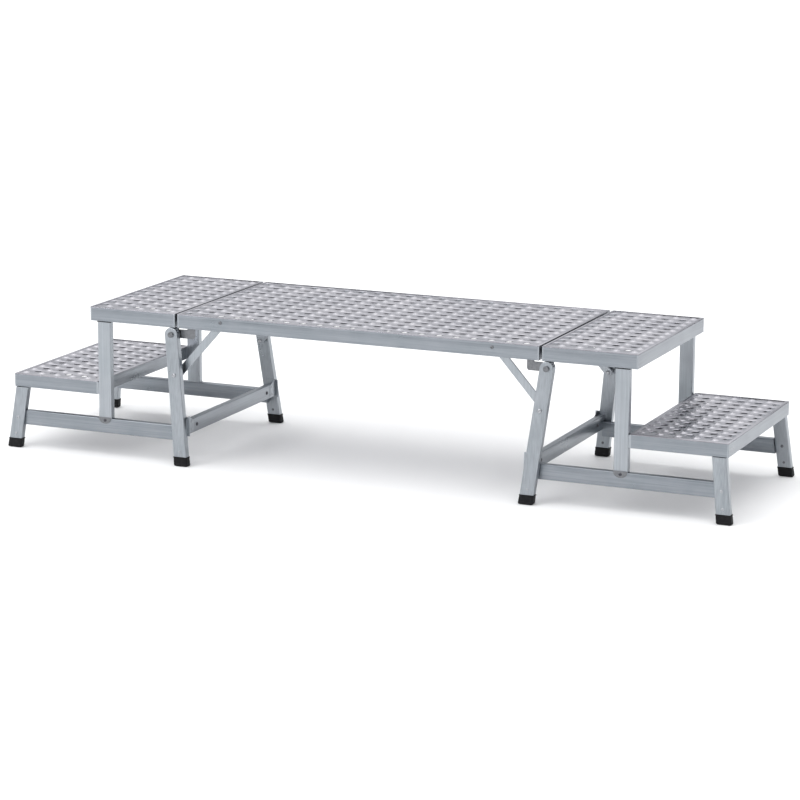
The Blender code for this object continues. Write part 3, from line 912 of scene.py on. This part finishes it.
def post_trim(side, face):
    """Dark band of boot rubber at the top of a post, a painted shadow under the deck rail, and the
    shim between the post and the step's rail.
    """
    sign, face_sign = SIDES[side], FACES[face]
    body = MODULES[side]
    post_low, post_high = corners(f"{side}_{face}_post")
    rail_low, rail_high = corners(f"{side}_step_{face}_rail")
    shadow_band_low, shadow_band_high = post_high.z - SHADOW_BAND_LOW, post_high.z - SHADOW_BAND_HIGH
    shadow_band = [(post_low.x - SHADOW_BAND_WIDER, shadow_band_low), (post_high.x + SHADOW_BAND_WIDER, shadow_band_low),
            (post_high.x + SHADOW_BAND_WIDER, shadow_band_high), (post_low.x - SHADOW_BAND_WIDER, shadow_band_high)]
    # the dark band is painted shadow where the post meets the underside of the deck rail
    plate_xz(f"{side}_{face}_post_shadow_band", shadow_band, face_sign * (HALF_DEPTH + SHADOW_BAND_OUT),
             face_sign * (HALF_DEPTH - TUBE_DEEP - SHADOW_BAND_IN), RUBBER, body, 0.0004)
    post_face = sign * (max(abs(post_low.x), abs(post_high.x)) - SHIM_BITE)
    rail_end = sign * (min(abs(rail_low.x), abs(rail_high.x)) + SHIM_BITE)
    shim_low, shim_high = rail_low.z + SHIM_LOW, rail_high.z - SHIM_HIGH
    shim = [(post_face, shim_low), (rail_end, shim_low),
            (rail_end, shim_high), (post_face, shim_high)]
    plate_xz(f"{side}_{face}_step_shim", shim, face_sign * (HALF_DEPTH - SHIM_INSET),
             face_sign * (HALF_DEPTH - TUBE_DEEP + SHIM_INSET), RAIL_Z, body, 0.0003)


def recolour(node, material):
    """Material for a CAD node that stays in view as it is."""
    NODES[node].data.materials.clear()
    NODES[node].data.materials.append(material)


# ---------------------------------------------------------------- build the bench
frame_set("bridge", "bridge", {"left_end": -1, "right_end": 1})
tread_piece("bridge_tread", 21, 12, ("hole", "dome"), "hole", "bridge")
recolour("bridge_middle_bearer", RAIL_Y)

for side, sign in SIDES.items():
    body = MODULES[side]
    ends = {"outer": sign, "inner": -sign}
    frame_set(f"{side}_deck", body, ends)
    frame_set(f"{side}_step", body, ends)
    tread_piece(f"{side}_deck_tread", 5, 12, ("hole", "dome"), "dome", body)
    tread_piece(f"{side}_step_tread", 5, 12, ("dome", "hole"), "dome", body)
    cross_rail(side)
    for face in FACES:
        inner_leg(side, face)
        step_leg(side, face)
        upright_post(side, face)
        stringer(side, face)
        boot(f"{side}_{face}_inner_boot", body)
        boot(f"{side}_{face}_step_boot", body)
        brace_bar(side, face)
        brace_fittings(side, face)
        hinge_strap(side, face)
        post_trim(side, face)
        # the hinge brackets take the darker steel: painted shade under the deck
        recolour(f"{side}_{face}_hinge_bracket", SHADE_DARKENED_STEEL)


# ---------------------------------------------------------------- floor, light and camera
def build_floor():
    bpy.ops.mesh.primitive_plane_add(size=60, location=(0, 0, -0.0005))
    floor = bpy.context.object
    floor.name = "studio_floor"
    material, tree, shader = new_material("studio_floor")
    cloud = noise(tree, texture_space(tree), 0.4, 2.0, 0.5)
    tree.links.new(ramp(tree, cloud, [(0.3, (0.90, 0.90, 0.90)), (0.7, (0.92, 0.92, 0.92))]),
                   shader.inputs["Base Color"])
    shader.inputs["Roughness"].default_value = 0.9
    shader.inputs["Specular IOR Level"].default_value = 0.1
    floor.data.materials.append(material)


def build_world():
    """Grey studio: dim near the horizon, bright overhead, so the metal has something to show."""
    world = bpy.data.worlds.new("studio")
    bpy.context.scene.world = world
    world.use_nodes = True
    tree = world.node_tree
    background = tree.nodes["Background"]
    place = tree.nodes.new("ShaderNodeTexCoord")
    split = tree.nodes.new("ShaderNodeSeparateXYZ")
    tree.links.new(place.outputs["Generated"], split.inputs["Vector"])
    sky = ramp(tree, split.outputs["Z"], [(0.0, (0.35, 0.36, 0.38)), (0.22, (0.40, 0.41, 0.43)),
                                          (0.5, (0.80, 0.81, 0.83)), (1.0, (1.0, 1.0, 1.0))])
    tree.links.new(sky, background.inputs["Color"])
    background.inputs["Strength"].default_value = 1.3


def area_light(name, place, target, size, energy):
    data = bpy.data.lights.new(name, "AREA")
    data.shape = "RECTANGLE"
    data.size, data.size_y = size
    data.energy = energy
    lamp = bpy.data.objects.new(name, data)
    lamp.location = place
    lamp.rotation_mode = "QUATERNION"
    lamp.rotation_quaternion = (Vector(target) - Vector(place)).to_track_quat("-Z", "Y")
    bpy.context.scene.collection.objects.link(lamp)


def soft_sun(name, heading, strength):
    """Very wide overhead light that fills the floor evenly."""
    data = bpy.data.lights.new(name, "SUN")
    data.energy = strength
    data.angle = math.radians(90)
    lamp = bpy.data.objects.new(name, data)
    lamp.rotation_mode = "QUATERNION"
    lamp.rotation_quaternion = Vector(heading).to_track_quat("-Z", "Y")
    bpy.context.scene.collection.objects.link(lamp)


def build_camera():
    """Long lens, a little to the right of the bench and about 12 degrees above it."""
    yaw, pitch, roll = (math.radians(a) for a in (23.38, 12.415, 0.27))
    forward = Vector((-math.sin(yaw) * math.cos(pitch), math.cos(yaw) * math.cos(pitch),
                      -math.sin(pitch)))
    level = Vector((math.cos(yaw), math.sin(yaw), 0))
    upright = level.cross(forward)
    right = level * math.cos(roll) + upright * math.sin(roll)
    up = upright * math.cos(roll) - level * math.sin(roll)
    data = bpy.data.cameras.new("camera")
    data.lens = 131.2
    data.sensor_width = 36
    camera = bpy.data.objects.new("camera", data)
    turn = Matrix((right, up, -forward)).transposed().to_4x4()
    camera.matrix_world = Matrix.Translation((3.585, -8.2475, 2.177)) @ turn
    bpy.context.scene.collection.objects.link(camera)
    bpy.context.scene.camera = camera


bpy.context.scene.view_settings.view_transform = "Standard"
build_floor()
build_world()
soft_sun("overhead", (0.25, 0.30, -1.0), 1.3)
area_light("key", (-3.0, -5.0, 3.0), (0, 0, 0.3), (3.0, 2.0), 60)
build_camera()

bpy.context.view_layer.update()
